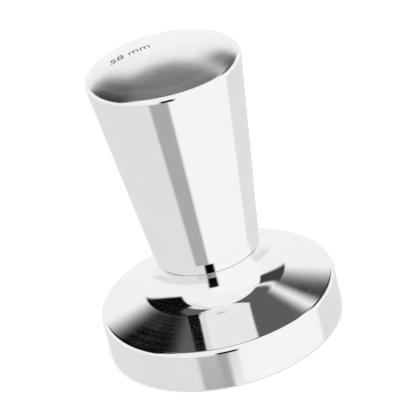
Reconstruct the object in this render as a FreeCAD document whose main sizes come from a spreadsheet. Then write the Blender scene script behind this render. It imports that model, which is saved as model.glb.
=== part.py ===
"""Espresso tamper: a polished steel piston with a tapered handle that screws onto it.

Millimetres, +Z up, origin at the centre of the flat tamping face.
"""
import FreeCAD, Part
import os

import Sketcher

# Driving dimensions: alias, value, what it is.
DIMENSIONS = [
    ("piston_radius", 29.0, "58 mm piston"),
    ("rim_height", 10.45, "sharp corner between the piston's wall and its cone"),
    ("rim_round", 1.3, "rounding of that corner"),
    ("face_round", 0.35, "rounding around the tamping face"),
    ("cone_rise", 5.17, "height that the cone gains from the rim to its corner with the neck"),
    ("neck_radius", 12.8, "neck of the piston"),
    ("neck_round", 7.2, "hollow in the corner between cone and neck"),
    ("neck_height", 22.05, "top of the neck, where the collar sits"),
    ("collar_radius", 12.82, "collar ring, outside its lower end"),
    ("collar_top_radius", 12.6, "collar ring, outside its upper end"),
    ("collar_chamfer", 0.15, "bevel around the collar's lower edge"),
    ("collar_height", 2.6, "collar ring, thickness"),
    ("seam", 0.03, "joint line over and under the collar"),
    ("foot_height", 24.72, "underside of the handle"),
    ("foot_radius", 13.17, "handle's lower end"),
    ("foot_round", 0.15, "edge break around the handle's foot"),
    ("crown_radius", 18.76, "sharp corner between the handle's taper and dome"),
    ("crown_height", 71.56, "height of that corner"),
    ("crown_round", 1.4, "rounding of that corner"),
    ("overall_height", 76.6, "top of the dome"),
    ("spigot_radius", 9.0, "locating spigot under the handle"),
    ("spigot_end", 19.3, "lower end of the spigot"),
    ("running_gap", 0.05, "radial clearance of the collar on the spigot"),
    ("groove_radius", 8.02, "floor of the seal's groove in the spigot"),
    ("groove_low", 20.2, "lower wall of that groove"),
    ("groove_high", 21.95, "upper wall of that groove"),
    ("seal_section", 0.8, "radius of the seal's round section"),
    ("seal_radius", 8.85, "middle of the seal's round section"),
    ("seal_height", 21.08, "height of the seal's middle"),
    ("recess_radius", 9.95, "recess in the neck for spigot and seal"),
    ("recess_floor", 19.0, "floor of that recess"),
    ("screw_radius", 4.0, "M8 thread, outside"),
    ("screw_pitch", 1.25, "M8 coarse pitch"),
    ("screw_low", 5.6, "lower end of the stud"),
    ("screw_high", 35.6, "upper end of the stud"),
    ("screw_chamfer", 0.8, "bevel at each end of the stud"),
    ("thread_depth", 0.68, "depth of the thread's V"),
    ("thread_half", 0.5, "half of the V's width at the thread's outside"),
    ("thread_proud", 0.2, "how far the V's cutter stands out of the stud"),
    ("base_bore_radius", 4.03, "tapped hole in the piston"),
    ("base_bore_low", 5.0, "where the full width of that hole ends"),
    ("handle_bore_radius", 4.08, "tapped hole in the handle"),
    ("handle_bore_high", 36.6, "where the full width of that hole ends"),
    ("drill_point", 2.4, "height of the cone left by the drill"),
    ("mouth_bevel", 0.6, "bevel at the mouth of each tapped hole"),
    ("key_across_flats", 4.0, "hexagon socket in the stud"),
    ("key_depth", 5.0, "depth of the hexagon socket"),
]

AXIS = "0"  # a point on the axis of revolution
LEVEL = 0.001  # how closely an edge's place is compared

doc = FreeCAD.newDocument("EspressoTamper")


def make_sheet():
    """Spreadsheet with one aliased cell for each driving dimension."""
    sheet = doc.addObject("Spreadsheet::Sheet", "Sizes")
    for row, (alias, value, meaning) in enumerate(DIMENSIONS, start=1):
        sheet.set(f"A{row}", meaning)
        sheet.set(f"B{row}", str(value))
        sheet.setAlias(f"B{row}", alias)
    doc.recompute()
    return sheet


sizes = make_sheet()


def number(text):
    """Value of a sum of dimensions, such as "neck_height + seam"."""
    total = 0.0
    sign = 1.0
    for word in text.split():
        if word in ("+", "-"):
            sign = 1.0 if word == "+" else -1.0
        elif word != AXIS:
            total += sign * getattr(sizes, word)
    return total


def formula(text):
    """The same sum as an expression that reads the spreadsheet."""
    words = text.split()
    return " ".join(word if word in ("+", "-") else "Sizes." + word for word in words)


def make_body(label):
    body = doc.addObject("PartDesign::Body", label)
    body.Label = label
    return body


def origin_feature(body, role):
    """One of the body's own origin planes or axes."""
    return next(item for item in body.Origin.OriginFeatures if item.Role == role)


def new_sketch(body, name, plane="XZ_Plane"):
    sketch = body.newObject("Sketcher::SketchObject", name)
    sketch.AttachmentSupport = [(origin_feature(body, plane), "")]
    sketch.MapMode = "FlatFace"
    return sketch


def pin_coordinate(sketch, index, kind, text):
    """Tie one coordinate of a line's start to the sheet, or to an axis where it is zero."""
    if text == AXIS:
        axis = -2 if kind == "DistanceX" else -1
        sketch.addConstraint(Sketcher.Constraint("PointOnObject", index, 1, axis))
        return
    place = Sketcher.Constraint(kind, -1, 1, index, 1, number(text))
    row = sketch.addConstraint(place)
    sketch.setExpression(f"Constraints[{row}]", formula(text))


def half_section(body, name, points, dome_after=None):
    """Closed outline on the XZ plane, from (radius, height) pairs of dimension sums.

    The side after point number dome_after is an arc centred on the axis.
    """
    sketch = new_sketch(body, name)
    places = [FreeCAD.Vector(number(radius), number(height), 0) for radius, height in points]
    count = len(points)
    for index, start in enumerate(places):
        end = places[(index + 1) % count]
        if index == dome_after:
            sketch.addGeometry(dome_arc(start, end), False)
            sketch.addConstraint(Sketcher.Constraint("PointOnObject", index, 3, -2))
        else:
            sketch.addGeometry(Part.LineSegment(start, end), False)
    for index in range(count):
        following = (index + 1) % count
        sketch.addConstraint(Sketcher.Constraint("Coincident", index, 2, following, 1))
    for index, (radius, height) in enumerate(points):
        pin_coordinate(sketch, index, "DistanceX", radius)
        pin_coordinate(sketch, index, "DistanceY", height)
    return sketch


def dome_arc(start, end):
    """Arc from start up to end on the axis, with its centre on the axis too."""
    rise = end.y - start.y
    radius = (start.x ** 2 + rise ** 2) / (2 * rise)
    centre = FreeCAD.Vector(0, end.y - radius, 0)
    middle = start + end - centre - centre
    middle.normalize()
    return Part.Arc(start, centre + middle * radius, end)


def revolve(body, name, points, dome_after=None):
    """Solid of revolution about Z from a half section."""
    sketch = half_section(body, name + "Section", points, dome_after)
    feature = body.newObject("PartDesign::Revolution", name)
    feature.Profile = sketch
    feature.ReferenceAxis = (sketch, ["V_Axis"])
    feature.Angle = 360
    doc.recompute()
    return feature


def groove(body, name, points):
    """Cut of revolution about Z, which has to take something away."""
    before = body.Shape.Volume
    sketch = half_section(body, name + "Section", points)
    feature = body.newObject("PartDesign::Groove", name)
    feature.Profile = sketch
    feature.ReferenceAxis = (sketch, ["V_Axis"])
    feature.Angle = 360
    doc.recompute()
    if not body.Shape.Volume < before:
        raise RuntimeError(name + " cuts nothing")
    return feature


def ring_edges(shape, radius, height):
    """Names of the circular edges about Z with this radius and height."""
    names = []
    for index, edge in enumerate(shape.Edges, start=1):
        if edge.Degenerated or not isinstance(edge.Curve, Part.Circle):
            continue
        same_radius = abs(edge.Curve.Radius - radius) < LEVEL
        if same_radius and abs(edge.Curve.Center.z - height) < LEVEL:
            names.append(f"Edge{index}")
    return names


def dress(body, kind, name, radius, height, size_property, size):
    """Fillet or chamfer on the circular edges at (radius, height)."""
    base = body.Tip
    names = ring_edges(base.Shape, number(radius), number(height))
    if not names:
        raise RuntimeError(name + " finds no edge")
    feature = body.newObject("PartDesign::" + kind, name)
    feature.Base = (base, names)
    feature.setExpression(size_property, formula(size))
    doc.recompute()
    return feature


def fillet(body, name, radius, height, size):
    return dress(body, "Fillet", name, radius, height, "Radius", size)


def chamfer(body, name, radius, height, size):
    return dress(body, "Chamfer", name, radius, height, "Size", size)


def make_piston():
    """Flat piston, its cone, the hollow neck, and a stepped blind hole from above."""
    body = make_body("tamper_base")
    revolve(body, "PistonBlank", [
        (AXIS, AXIS),
        ("piston_radius", AXIS),
        ("piston_radius", "rim_height"),
        ("neck_radius", "rim_height + cone_rise"),
        ("neck_radius", "neck_height"),
        (AXIS, "neck_height"),
    ])
    fillet(body, "NeckHollow", "neck_radius", "rim_height + cone_rise", "neck_round")
    fillet(body, "RimRounding", "piston_radius", "rim_height", "rim_round")
    fillet(body, "FaceRounding", "piston_radius", AXIS, "face_round")
    groove(body, "SpigotRecess", [
        (AXIS, "recess_floor"),
        ("recess_radius", "recess_floor"),
        ("recess_radius", "neck_height"),
        (AXIS, "neck_height"),
    ])
    groove(body, "TappedHole", [
        (AXIS, "base_bore_low - drill_point"),
        ("base_bore_radius", "base_bore_low"),
        ("base_bore_radius", "recess_floor - mouth_bevel"),
        ("base_bore_radius + mouth_bevel", "recess_floor"),
        (AXIS, "recess_floor"),
    ])
    return body


def make_collar():
    """Ring between neck and handle, slightly tapered, bevelled around its lower edge."""
    body = make_body("collar_ring")
    low = "neck_height + seam"
    high = "neck_height + seam + collar_height"
    revolve(body, "Ring", [
        ("spigot_radius + running_gap", low),
        ("collar_radius", low),
        ("collar_top_radius", high),
        ("spigot_radius + running_gap", high),
    ])
    chamfer(body, "LowerBevel", "collar_radius", low, "collar_chamfer")
    return body


def make_handle():
    """Tapered grip with a domed top, a grooved spigot below and a blind tapped hole."""
    body = make_body("handle")
    revolve(body, "Grip", [
        (AXIS, "spigot_end"),
        ("spigot_radius", "spigot_end"),
        ("spigot_radius", "foot_height"),
        ("foot_radius", "foot_height"),
        ("crown_radius", "crown_height"),
        (AXIS, "overall_height"),
    ], dome_after=4)
    fillet(body, "CrownRounding", "crown_radius", "crown_height", "crown_round")
    fillet(body, "FootRounding", "foot_radius", "foot_height", "foot_round")
    groove(body, "SealGroove", [
        ("groove_radius", "groove_low"),
        ("spigot_radius", "groove_low"),
        ("spigot_radius", "groove_high"),
        ("groove_radius", "groove_high"),
    ])
    groove(body, "TappedHole", [
        (AXIS, "spigot_end"),
        ("handle_bore_radius + mouth_bevel", "spigot_end"),
        ("handle_bore_radius", "spigot_end + mouth_bevel"),
        ("handle_bore_radius", "handle_bore_high"),
        (AXIS, "handle_bore_high + drill_point"),
    ])
    return body


def make_seal():
    """Rubber O-ring in the spigot's groove."""
    ring = doc.addObject("Part::Torus", "seal_ring")
    ring.Label = "seal_ring"
    ring.setExpression("Radius1", formula("seal_radius"))
    ring.setExpression("Radius2", formula("seal_section"))
    ring.setExpression("Placement.Base.z", formula("seal_height"))
    doc.recompute()
    return ring


def cut_thread(body):
    """Helical V cut over the whole length of the stud."""
    before = body.Shape.Volume
    sketch = half_section(body, "ThreadSection", [
        ("screw_radius - thread_depth", "screw_low"),
        ("screw_radius + thread_proud", "screw_low - thread_half"),
        ("screw_radius + thread_proud", "screw_low + thread_half"),
    ])
    feature = body.newObject("PartDesign::SubtractiveHelix", "Thread")
    feature.Profile = sketch
    feature.ReferenceAxis = (origin_feature(body, "Z_Axis"), [""])
    feature.Mode = "pitch-height-angle"
    feature.setExpression("Pitch", formula("screw_pitch"))
    feature.setExpression("Height", formula("screw_high - screw_low"))
    doc.recompute()
    if not body.Shape.Volume < before:
        raise RuntimeError("the thread cuts nothing")


def cut_key_socket(body):
    """Hexagon socket in the stud's upper end."""
    before = body.Shape.Volume
    sketch = new_sketch(body, "KeySection", "XY_Plane")
    across = number("key_across_flats")
    corner = across / 3 ** 0.5
    corners = [
        FreeCAD.Vector(corner, 0, 0),
        FreeCAD.Vector(corner / 2, across / 2, 0),
        FreeCAD.Vector(-corner / 2, across / 2, 0),
        FreeCAD.Vector(-corner, 0, 0),
        FreeCAD.Vector(-corner / 2, -across / 2, 0),
        FreeCAD.Vector(corner / 2, -across / 2, 0),
    ]
    count = len(corners)
    for index, start in enumerate(corners):
        sketch.addGeometry(Part.LineSegment(start, corners[(index + 1) % count]), False)
    for index in range(count):
        following = (index + 1) % count
        sketch.addConstraint(Sketcher.Constraint("Coincident", index, 2, following, 1))
        if index:
            sketch.addConstraint(Sketcher.Constraint("Equal", 0, index))
    ring = sketch.addGeometry(Part.Circle(FreeCAD.Vector(), FreeCAD.Vector(0, 0, 1), corner), True)
    sketch.addConstraint(Sketcher.Constraint("Coincident", ring, 3, -1, 1))
    for index in range(count):
        sketch.addConstraint(Sketcher.Constraint("PointOnObject", index, 1, ring))
    sketch.addConstraint(Sketcher.Constraint("PointOnObject", 0, 1, -1))
    flats = sketch.addConstraint(Sketcher.Constraint("Distance", 4, 1, 1, across))
    sketch.setExpression(f"Constraints[{flats}]", formula("key_across_flats"))
    sketch.setExpression("AttachmentOffset.Base.z", formula("screw_high"))
    doc.recompute()
    pocket = body.newObject("PartDesign::Pocket", "KeySocket")
    pocket.Profile = sketch
    pocket.setExpression("Length", formula("key_depth"))
    doc.recompute()
    if not body.Shape.Volume < before:
        raise RuntimeError("the hexagon socket cuts nothing")


def make_stud():
    """M8 set screw that joins piston and handle, fixed in the piston."""
    body = make_body("threaded_stud")
    revolve(body, "Shank", [
        (AXIS, "screw_low"),
        ("screw_radius", "screw_low"),
        ("screw_radius", "screw_high"),
        (AXIS, "screw_high"),
    ])
    chamfer(body, "LowerPoint", "screw_radius", "screw_low", "screw_chamfer")
    chamfer(body, "UpperPoint", "screw_radius", "screw_high", "screw_chamfer")
    cut_thread(body)
    cut_key_socket(body)
    return body


def check(parts):
    """Stop on a failed feature or a shape that isn't one valid solid."""
    for item in doc.Objects:
        if "Invalid" in item.State or "Error" in item.State:
            raise RuntimeError("failed feature: " + item.Label)
    for part in parts:
        shape = part.Shape
        if shape.isNull() or not shape.isValid() or len(shape.Solids) != 1:
            raise RuntimeError("bad shape: " + part.Label)


def write(parts):
    os.makedirs("parts", exist_ok=True)
    for part in parts:
        part.Shape.exportStep(f"parts/{part.Label}.step")
        box = part.Shape.BoundBox
        print(f"{part.Label}: {part.Shape.Volume:.1f} mm3, z {box.ZMin:.2f} to {box.ZMax:.2f}")


tamper = [make_piston(), make_stud(), make_collar(), make_seal(), make_handle()]
doc.recompute()
check(tamper)
write(tamper)
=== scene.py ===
"""Looks of the espresso tamper: polished turned steel in a small product studio. Metres, +Z up."""
import math

import bmesh
import bpy
from mathutils import Matrix, Vector


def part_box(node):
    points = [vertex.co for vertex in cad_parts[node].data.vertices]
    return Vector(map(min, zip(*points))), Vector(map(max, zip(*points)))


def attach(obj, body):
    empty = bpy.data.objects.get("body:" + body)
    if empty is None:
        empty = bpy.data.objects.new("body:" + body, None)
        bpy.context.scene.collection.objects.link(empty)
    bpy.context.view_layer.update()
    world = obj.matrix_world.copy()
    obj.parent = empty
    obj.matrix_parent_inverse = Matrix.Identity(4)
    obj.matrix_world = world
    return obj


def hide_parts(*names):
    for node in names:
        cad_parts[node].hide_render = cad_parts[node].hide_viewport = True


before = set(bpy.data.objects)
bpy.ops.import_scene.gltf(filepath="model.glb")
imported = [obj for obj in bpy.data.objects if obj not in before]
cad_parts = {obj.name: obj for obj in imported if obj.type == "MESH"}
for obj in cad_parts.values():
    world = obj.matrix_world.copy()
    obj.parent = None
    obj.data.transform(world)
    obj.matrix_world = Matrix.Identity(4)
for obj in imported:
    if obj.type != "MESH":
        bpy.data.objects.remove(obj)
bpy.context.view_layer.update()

MM = 0.001
AROUND = 360  # steps around every turned piece
ARC_STEP = math.radians(4)  # longest step along a rounding

# Roundings and small sizes of the turned pieces, in millimetres.
FACE_ROUND = 0.35
RIM_CORNER = 10.45
RIM_ROUND = 1.3
NECK_FOOT = (12.8, 15.62)
NECK_ROUND = 7.2
RECESS = (9.95, 19.0)
BORE = 4.03
BORE_LOW = 5.0
DRILL_POINT = 2.4
MOUTH_BEVEL = 0.6
COLLAR_TOP = 12.6
COLLAR_BEVEL = 0.15
COLLAR_BORE = 9.05
FOOT = (13.17, 24.72)
FOOT_ROUND = 0.15
CROWN = (18.76, 71.56)
CROWN_ROUND = 1.4
SPIGOT = 9.0
SEAL_GROOVE = (8.02, 20.2, 21.95)
HANDLE_BORE = (4.08, 36.6)


# ---------------------------------------------------------------- turned shapes

class Outline:
    """Half section of a turned piece, from the axis round to the axis again.

    It is kept as strips of (radius, height, normal radius, normal height). Strips meet in a
    sharp edge unless their normals agree, and the outside lies to the right of the path.
    """

    def __init__(self):
        self.strips = []

    def line(self, start, end):
        along = Vector((end[0] - start[0], end[1] - start[1])).normalized()
        normal = (along.y, -along.x)
        self.strips.append([(*start, *normal), (*end, *normal)])

    def arc(self, centre, radius, first, last, hollow=False):
        """Arc between two directions from its centre, in radians; hollow faces the centre."""
        steps = max(2, math.ceil(abs(last - first) / ARC_STEP))
        side = -1.0 if hollow else 1.0
        strip = []
        for index in range(steps + 1):
            angle = first + (last - first) * index / steps
            c, s = math.cos(angle), math.sin(angle)
            strip.append((centre[0] + radius * c, centre[1] + radius * s, side * c, side * s))
        self.strips.append(strip)

    def path(self, corners):
        """Straight runs through corners (radius, height, rounding)."""
        here = corners[0][:2]
        for before, corner, after in zip(corners, corners[1:], corners[2:]):
            here = self.corner(here, corner, after)
        self.line(here, corners[-1][:2])

    def corner(self, here, corner, after):
        """Run from here to a corner, round it, and give where the rounding ends."""
        point = Vector(corner[:2])
        rounding = corner[2]
        if not rounding:
            self.line(here, tuple(point))
            return tuple(point)
        come = (point - Vector(here)).normalized()
        leave = (Vector(after[:2]) - point).normalized()
        turn = come.x * leave.y - come.y * leave.x
        bend = math.atan2(turn, come.dot(leave))
        reach = rounding * math.tan(abs(bend) / 2)
        start = point - come * reach
        side = 1.0 if turn > 0 else -1.0
        centre = start + Vector((-come.y, come.x)) * rounding * side
        first = math.atan2(start.y - centre.y, start.x - centre.x)
        self.line(here, tuple(start))
        self.arc(tuple(centre), rounding, first, first + bend, hollow=turn < 0)
        return tuple(point + leave * reach)


def lathe(name, outline, closed=False):
    """Mesh of revolution whose shading normals are those of the outline itself."""
    mesh = bpy.data.meshes.new(name)
    shape = bmesh.new()
    rings = []
    samples = []
    for strip in outline.strips:
        for index, sample in enumerate(strip):
            if index or not rings:
                rings.append(make_ring(shape, sample))
            if index:
                samples.append((strip[index - 1], sample))
    if closed:
        for vert in rings[-1]:
            shape.verts.remove(vert)
        rings[-1] = rings[0]
    normals = []
    for (low, high), (before, after) in zip(zip(rings, rings[1:]), samples):
        for step in range(AROUND):
            normals += wrap_face(shape, low, high, before, after, step)
    shape.to_mesh(mesh)
    shape.free()
    for face in mesh.polygons:
        face.use_smooth = True
    mesh.normals_split_custom_set(normals)
    piece = bpy.data.objects.new(name, mesh)
    bpy.context.scene.collection.objects.link(piece)
    return piece


def make_ring(shape, sample):
    """One vertex on the axis, or a full ring of them."""
    radius, height = sample[0] * MM, sample[1] * MM
    if radius < 1e-9:
        return [shape.verts.new((0, 0, height))]
    ring = []
    for step in range(AROUND):
        angle = math.tau * step / AROUND
        ring.append(shape.verts.new((radius * math.cos(angle), radius * math.sin(angle), height)))
    return ring


def wrap_face(shape, low, high, before, after, step):
    """One face between two rings, and its corners' normals."""
    following = (step + 1) % AROUND
    corners = []
    if len(low) > 1:
        corners += [(low[step], before, step), (low[following], before, step + 1)]
    else:
        corners.append((low[0], before, step + 0.5))
    if len(high) > 1:
        corners += [(high[following], after, step + 1), (high[step], after, step)]
    else:
        corners.append((high[0], after, step + 0.5))
    shape.faces.new([vert for vert, _, _ in corners])
    normals = []
    for _, sample, place in corners:
        angle = math.tau * place / AROUND
        normals.append((sample[2] * math.cos(angle), sample[2] * math.sin(angle), sample[3]))
    return normals


def node_sizes(node):
    """Radius, lowest and highest point of a turned CAD node, in millimetres."""
    low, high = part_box(node)
    return high.x / MM, low.z / MM, high.z / MM


def base_outline():
    radius, _, top = node_sizes("tamper_base")
    outline = Outline()
    outline.path([
        (0, 0, 0),
        (radius, 0, FACE_ROUND),
        (radius, RIM_CORNER, RIM_ROUND),
        (*NECK_FOOT, NECK_ROUND),
        (NECK_FOOT[0], top, 0),
        (RECESS[0], top, 0),
        (*RECESS, 0),
        (BORE + MOUTH_BEVEL, RECESS[1], 0),
        (BORE, RECESS[1] - MOUTH_BEVEL, 0),
        (BORE, BORE_LOW, 0),
        (0, BORE_LOW - DRILL_POINT, 0),
    ])
    return outline


def collar_outline():
    radius, low, high = node_sizes("collar_ring")
    slope = (radius - COLLAR_TOP) / (high - low)
    bevel_top = radius - slope * COLLAR_BEVEL
    outline = Outline()
    outline.path([
        (COLLAR_BORE, low, 0),
        (radius - COLLAR_BEVEL, low, 0),
        (bevel_top, low + COLLAR_BEVEL, 0),
        (COLLAR_TOP, high, 0),
        (COLLAR_BORE, high, 0),
        (COLLAR_BORE, low, 0),
    ])
    return outline


def dome_circle(top):
    """Height of the dome's centre on the axis, and its radius."""
    rise = top - CROWN[1]
    radius = (CROWN[0] ** 2 + rise ** 2) / (2 * rise)
    return top - radius, radius


def crown_centre(top):
    """Centre of the rounding that meets both the taper and the dome."""
    middle, radius = dome_circle(top)
    along = (Vector(CROWN) - Vector(FOOT)).normalized()
    inward = Vector((-along.y, along.x))
    start = Vector(FOOT) + inward * CROWN_ROUND - Vector((0, middle))
    reach = radius - CROWN_ROUND
    half = start.dot(along)
    travel = -half + math.sqrt(half * half - start.length_squared + reach * reach)
    return Vector(FOOT) + inward * CROWN_ROUND + along * travel, along, travel


def handle_outline():
    _, low, top = node_sizes("handle")
    centre, along, travel = crown_centre(top)
    middle, radius = dome_circle(top)
    taper_end = Vector(FOOT) + along * travel
    first = math.atan2(-along.x, along.y)
    last = math.atan2(centre.y - middle, centre.x)
    outline = Outline()
    outline.path([
        (0, HANDLE_BORE[1] + DRILL_POINT, 0),
        (HANDLE_BORE[0], HANDLE_BORE[1], 0),
        (HANDLE_BORE[0], low + MOUTH_BEVEL, 0),
        (HANDLE_BORE[0] + MOUTH_BEVEL, low, 0),
        (SPIGOT, low, 0),
        (SPIGOT, SEAL_GROOVE[1], 0),
        (SEAL_GROOVE[0], SEAL_GROOVE[1], 0),
        (SEAL_GROOVE[0], SEAL_GROOVE[2], 0),
        (SPIGOT, SEAL_GROOVE[2], 0),
        (SPIGOT, FOOT[1], 0),
        (*FOOT, FOOT_ROUND),
        (*taper_end, 0),
    ])
    outline.arc(tuple(centre), CROWN_ROUND, first, last)
    outline.arc((0, middle), radius, last, math.pi / 2)
    return outline


def seal_outline():
    radius, low, high = node_sizes("seal_ring")
    section = (high - low) / 2
    outline = Outline()
    outline.arc((radius - section, low + section), section, 0, math.tau)
    return outline


# ---------------------------------------------------------------- materials

SATIN = 0.2  # roughness that the dome has on top of the taper's
TURNING_LINES = 1500.0  # turning lines, per metre
TURNING_DEPTH = 0.00000015
HAZE = 120.0  # faint clouds in the polish, per metre
STEEL = (0.93, 0.93, 0.935)


def new_material(name):
    material = bpy.data.materials.new(name)
    material.use_nodes = True
    tree = material.node_tree
    return material, tree, tree.nodes["Principled BSDF"]


def add_node(tree, kind, **settings):
    node = tree.nodes.new(kind)
    for name, value in settings.items():
        setattr(node, name, value)
    return node


def math_node(tree, operation, first, second=None, third=None):
    node = add_node(tree, "ShaderNodeMath", operation=operation)
    for slot, value in enumerate((first, second, third)):
        if value is None:
            continue
        if isinstance(value, (int, float)):
            node.inputs[slot].default_value = value
        else:
            tree.links.new(value, node.inputs[slot])
    return node.outputs[0]


def object_place(tree):
    """The surface point, its height and its distance from the axis, in metres."""
    place = add_node(tree, "ShaderNodeTexCoord").outputs["Object"]
    split = add_node(tree, "ShaderNodeSeparateXYZ")
    tree.links.new(place, split.inputs[0])
    x, y, z = split.outputs
    x_square = math_node(tree, "MULTIPLY", x, x)
    y_square = math_node(tree, "MULTIPLY", y, y)
    square = math_node(tree, "ADD", x_square, y_square)
    return place, z, math_node(tree, "SQRT", square)


def noise(tree, vector, scale, detail=2.0):
    node = add_node(tree, "ShaderNodeTexNoise")
    node.inputs["Scale"].default_value = scale
    node.inputs["Detail"].default_value = detail
    tree.links.new(vector, node.inputs["Vector"])
    return node.outputs["Fac"]


def combine(tree, x, y, z):
    node = add_node(tree, "ShaderNodeCombineXYZ")
    for slot, value in enumerate((x, y, z)):
        if isinstance(value, (int, float)):
            node.inputs[slot].default_value = value
        else:
            tree.links.new(value, node.inputs[slot])
    return node.outputs[0]


def map_range(tree, value, low, high, to_low, to_high):
    node = add_node(tree, "ShaderNodeMapRange")
    for slot, number in enumerate((low, high, to_low, to_high), start=1):
        node.inputs[slot].default_value = number
    tree.links.new(value, node.inputs[0])
    return node.outputs[0]


def mix_colour(tree, factor, first, second):
    node = add_node(tree, "ShaderNodeMix", data_type="RGBA")
    tree.links.new(factor, node.inputs["Factor"])
    node.inputs[6].default_value = (*first, 1)
    node.inputs[7].default_value = (*second, 1)
    return node.outputs[2]


def colour_by(tree, shader, factor, first, second):
    tree.links.new(mix_colour(tree, factor, first, second), shader.inputs["Base Color"])


def roughness_by(tree, shader, grain, smooth, rough):
    roughness = map_range(tree, grain, 0.3, 0.7, smooth, rough)
    tree.links.new(roughness, shader.inputs["Roughness"])


def add_bump(tree, shader, height, distance):
    bump = add_node(tree, "ShaderNodeBump")
    bump.inputs["Distance"].default_value = distance
    bump.inputs["Strength"].default_value = 1.0
    tree.links.new(height, bump.inputs["Height"])
    tree.links.new(bump.outputs[0], shader.inputs["Normal"])


def turned_steel(name, smooth, rough, satin_above=None):
    """Polished steel: lines around the axis and a faint haze, with a satin top if there is one."""
    material, tree, shader = new_material(name)
    place, z, radius = object_place(tree)
    rings = noise(tree, combine(tree, radius, z, 0.0), TURNING_LINES, 1.0)
    haze = noise(tree, place, HAZE, 3.0)
    shader.inputs["Metallic"].default_value = 1.0
    tint = map_range(tree, haze, 0.3, 0.7, 0.0, 1.0)
    colour_by(tree, shader, tint, STEEL, [c * 0.985 for c in STEEL])
    mixed = math_node(tree, "MULTIPLY_ADD", rings, 0.5, math_node(tree, "MULTIPLY", haze, 0.5))
    roughness = map_range(tree, mixed, 0.35, 0.65, smooth, rough)
    if satin_above:
        satin = map_range(tree, z, satin_above - MM, satin_above + MM, 0.0, SATIN)
        roughness = math_node(tree, "ADD", roughness, satin)
    tree.links.new(roughness, shader.inputs["Roughness"])
    add_bump(tree, shader, rings, TURNING_DEPTH)
    return material


def dark_rubber():
    material, tree, shader = new_material("nitrile_rubber")
    place = object_place(tree)[0]
    grain = noise(tree, place, 9000.0, 3.0)
    colour_by(tree, shader, grain, (0.018, 0.018, 0.019), (0.035, 0.035, 0.037))
    roughness_by(tree, shader, grain, 0.45, 0.62)
    add_bump(tree, shader, grain, 0.00001)
    return material


def machined_steel():
    material, tree, shader = new_material("machined_steel")
    place = object_place(tree)[0]
    grain = noise(tree, place, 2500.0, 4.0)
    shader.inputs["Metallic"].default_value = 1.0
    colour_by(tree, shader, grain, (0.42, 0.42, 0.43), (0.56, 0.56, 0.57))
    roughness_by(tree, shader, grain, 0.22, 0.4)
    add_bump(tree, shader, grain, 0.000004)
    return material


def floor_paint():
    material, tree, shader = new_material("studio_floor")
    place = object_place(tree)[0]
    grain = noise(tree, place, 40.0, 2.0)
    colour_by(tree, shader, grain, (0.92, 0.92, 0.92), (0.93, 0.93, 0.93))
    shader.inputs["Roughness"].default_value = 0.8
    shader.inputs["Specular IOR Level"].default_value = 0.1
    return material


# ---------------------------------------------------------------- studio

METAL_REFLECTS = 0.93

# The plain studio that the steel mirrors, as seen from the tamper: direction in degrees about Z
# (the camera is at -90), half width, lower and upper edge in degrees above the horizon, and
# display grey. Later ones stand in front of earlier ones, and all fade at their edges.
CARDS = [
    ("floor", 90, 181, -90, -12, 222),
    ("white wall", 90, 181, -12, 50, 240),
    ("ceiling", 90, 90, 50, 100, 90),
    ("softbox front right", -45, 55, -90, 40, 245),
    ("softbox overhead", -75, 70, 40, 85, 240),
    ("grey card front left", -110, 15, -60, -30, 170),
    ("flag front", -95, 10, -30, 10, 5),
    ("flag left", 155, 40, 25, 60, 5),
    ("flag right", 35, 30, 25, 45, 60),
]
AMBIENT = 225
SOFT_EDGE = 6  # degrees over which the edge of a card fades
ROOM_STRENGTH = 1.5  # of the even white room that lights everything matt
FLOOR_REACH = 3.0
FLOOR_HEIGHT = -0.00002  # clear of the tamping face, which would flicker against it


def linear(grey):
    """Display grey, 0 to 255, as light after the metal has taken its share."""
    value = grey / 255
    low = value / 12.92
    high = ((value + 0.055) / 1.055) ** 2.4
    return (low if value <= 0.04045 else high) / METAL_REFLECTS


def band_mask(tree, value, middle, half, soft):
    """1 where a value is within half of the middle, falling off softly."""
    away = math_node(tree, "ABSOLUTE", math_node(tree, "SUBTRACT", value, middle))
    node = add_node(tree, "ShaderNodeMapRange", interpolation_type="SMOOTHSTEP")
    for slot, number in enumerate((half - soft / 2, half + soft / 2, 1.0, 0.0), start=1):
        node.inputs[slot].default_value = number
    tree.links.new(away, node.inputs[0])
    return node.outputs[0]


def studio_light(tree):
    """Grey level of the studio in the direction that a reflection looks."""
    direction = add_node(tree, "ShaderNodeTexCoord").outputs["Generated"]
    split = add_node(tree, "ShaderNodeSeparateXYZ")
    tree.links.new(direction, split.inputs[0])
    x, y, z = split.outputs
    elevation = math_node(tree, "DEGREES", math_node(tree, "ARCSINE", z))
    azimuth = math_node(tree, "DEGREES", math_node(tree, "ARCTAN2", y, x))
    level = None
    for _, towards, half, low, high, grey in CARDS:
        offset = math_node(tree, "SUBTRACT", azimuth, towards)
        turned = math_node(tree, "WRAP", offset, 180.0, -180.0)
        across = band_mask(tree, turned, 0.0, half, SOFT_EDGE)
        upright = band_mask(tree, elevation, (low + high) / 2, (high - low) / 2, SOFT_EDGE)
        mask = math_node(tree, "MULTIPLY", across, upright)
        mix = add_node(tree, "ShaderNodeMix", data_type="FLOAT")
        tree.links.new(mask, mix.inputs["Factor"])
        if level is None:
            mix.inputs["A"].default_value = linear(AMBIENT)
        else:
            tree.links.new(level, mix.inputs["A"])
        mix.inputs["B"].default_value = linear(grey)
        level = mix.outputs[0]
    return level


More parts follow.
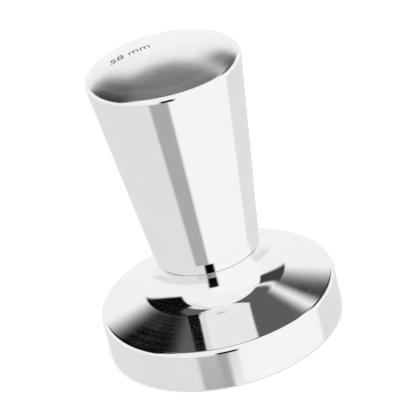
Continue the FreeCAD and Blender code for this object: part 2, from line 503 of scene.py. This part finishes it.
def make_world():
    """White room for the eye and the floor, and the studio's cards for the metal."""
    world = bpy.data.worlds.new("studio")
    bpy.context.scene.world = world
    world.use_nodes = True
    tree = world.node_tree
    tree.nodes.clear()
    metal = add_node(tree, "ShaderNodeBackground")
    tree.links.new(studio_light(tree), metal.inputs["Color"])
    room = add_node(tree, "ShaderNodeBackground")
    room.inputs["Color"].default_value = (1, 1, 1, 1)
    room.inputs["Strength"].default_value = ROOM_STRENGTH
    path = add_node(tree, "ShaderNodeLightPath")
    mix = add_node(tree, "ShaderNodeMixShader")
    tree.links.new(path.outputs["Is Glossy Ray"], mix.inputs[0])
    tree.links.new(room.outputs[0], mix.inputs[1])
    tree.links.new(metal.outputs[0], mix.inputs[2])
    out = add_node(tree, "ShaderNodeOutputWorld")
    tree.links.new(mix.outputs[0], out.inputs[0])


def make_floor():
    mesh = bpy.data.meshes.new("studio_floor")
    signs = [(-1, -1), (1, -1), (1, 1), (-1, 1)]
    corners = [(x * FLOOR_REACH, y * FLOOR_REACH, FLOOR_HEIGHT) for x, y in signs]
    mesh.from_pydata(corners, [], [(0, 1, 2, 3)])
    floor = bpy.data.objects.new("studio_floor", mesh)
    bpy.context.scene.collection.objects.link(floor)
    floor.data.materials.append(floor_paint())
    floor.visible_glossy = False


CAMERA_PLACE = Vector((0, -0.49278, 0.29059))
CAMERA_AIM = Vector((0.0028455, 0, 0.0318916))
CAMERA_LENS = 199.343  # millimetres, on a sensor 36 mm wide
CAMERA_ROLL = -13.733  # degrees


def make_camera():
    """Camera above and in front, rolled so that the tamper leans to the left."""
    data = bpy.data.cameras.new("camera")
    data.sensor_width = 36
    data.lens = CAMERA_LENS
    camera = bpy.data.objects.new("camera", data)
    look = (CAMERA_AIM - CAMERA_PLACE).to_track_quat("-Z", "Y").to_matrix().to_4x4()
    roll = Matrix.Rotation(math.radians(CAMERA_ROLL), 4, "Z")
    camera.matrix_world = Matrix.Translation(CAMERA_PLACE) @ look @ roll
    bpy.context.scene.collection.objects.link(camera)
    bpy.context.scene.camera = camera


# ---------------------------------------------------------------- size etched on the dome

MARK = "58 mm"
MARK_HEIGHT = 3.6  # size of the letters' body
MARK_PLACE = (-6.6, 1.2)  # middle of the mark, seen from above
MARK_TURN = 4.0  # degrees
MARK_LIFT = 0.012  # how far it stands proud of the dome


def etched_steel():
    material, tree, shader = new_material("etched_steel")
    place = object_place(tree)[0]
    grain = noise(tree, place, 7000.0, 3.0)
    shader.inputs["Metallic"].default_value = 0.6
    colour_by(tree, shader, grain, (0.10, 0.10, 0.105), (0.2, 0.2, 0.205))
    roughness_by(tree, shader, grain, 0.5, 0.75)
    add_bump(tree, shader, grain, 0.000005)
    return material


def make_mark():
    """Letters as a thin skin that follows the dome."""
    text = bpy.data.curves.new("mark_text", "FONT")
    text.body = MARK
    text.size = MARK_HEIGHT
    text.align_x = "CENTER"
    text.align_y = "CENTER"
    lettering = bpy.data.objects.new("mark_text", text)
    shape = bmesh.new()
    shape.from_mesh(lettering.to_mesh())
    bpy.data.objects.remove(lettering)
    bmesh.ops.triangulate(shape, faces=shape.faces)
    bmesh.ops.subdivide_edges(shape, edges=shape.edges, cuts=2)
    middle, radius = dome_circle(node_sizes("handle")[2])
    turn = Matrix.Rotation(math.radians(MARK_TURN), 2)
    for vert in shape.verts:
        spot = turn @ Vector(vert.co[:2]) + Vector(MARK_PLACE)
        rise = math.sqrt((radius + MARK_LIFT) ** 2 - spot.length_squared)
        vert.co = Vector((*spot, middle + rise)) * MM
    mesh = bpy.data.meshes.new("size_mark")
    shape.to_mesh(mesh)
    shape.free()
    piece = bpy.data.objects.new("size_mark", mesh)
    bpy.context.scene.collection.objects.link(piece)
    return piece


# ---------------------------------------------------------------- the tamper

def place_piece(piece, node, body, material):
    piece.data.materials.append(material)
    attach(piece, body)
    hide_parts(node)


def make_tamper():
    base_steel = turned_steel("polished_base", 0.03, 0.08)
    grip_steel = turned_steel("polished_handle", 0.03, 0.09, CROWN[1] * MM)
    base = lathe("base", base_outline())
    place_piece(base, "tamper_base", "piston", base_steel)
    collar = lathe("collar", collar_outline(), True)
    place_piece(collar, "collar_ring", "collar", base_steel)
    grip = lathe("grip", handle_outline())
    place_piece(grip, "handle", "grip", grip_steel)
    seal = lathe("seal", seal_outline(), True)
    place_piece(seal, "seal_ring", "grip", dark_rubber())
    mark = make_mark()
    mark.data.materials.append(etched_steel())
    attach(mark, "grip")
    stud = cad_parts["threaded_stud"]
    stud.data.materials.clear()
    stud.data.materials.append(machined_steel())


make_world()
make_floor()
make_camera()
make_tamper()
bpy.context.scene.view_settings.view_transform = "Standard"
